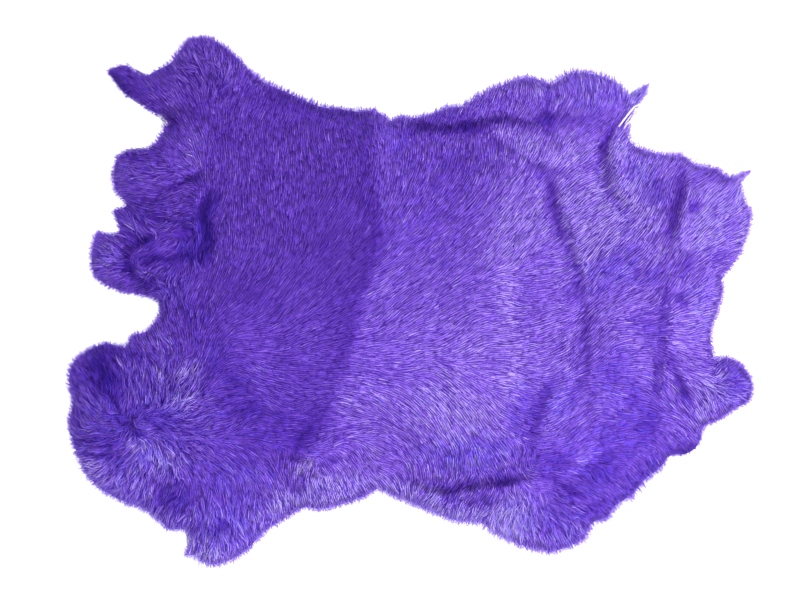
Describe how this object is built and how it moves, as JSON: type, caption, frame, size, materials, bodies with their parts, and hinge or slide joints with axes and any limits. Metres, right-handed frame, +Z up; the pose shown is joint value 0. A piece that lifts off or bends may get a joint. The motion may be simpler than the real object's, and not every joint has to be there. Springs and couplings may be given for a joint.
{
  "type": "rabbit skin",
  "caption": "Dyed rabbit skin opened flat, fur side up, with lobed uneven rim, leg flaps and soft fold creases.",
  "frame": {"origin": "centre of the bounding box in plan, at the level of the surface that the skin lies on", "axes": "+X along the skin's length, from the flaps of the front legs to the tail end; +Y across it; +Z up out of the fur"},
  "size_m": [0.4016, 0.3146, 0.0173],
  "materials": {
    "fur": "soft lying fur with a light sheen, dyed violet"
  },
  "bodies": {
    "root": {"rabbit_skin": "fur"}
  },
  "joints": []
}
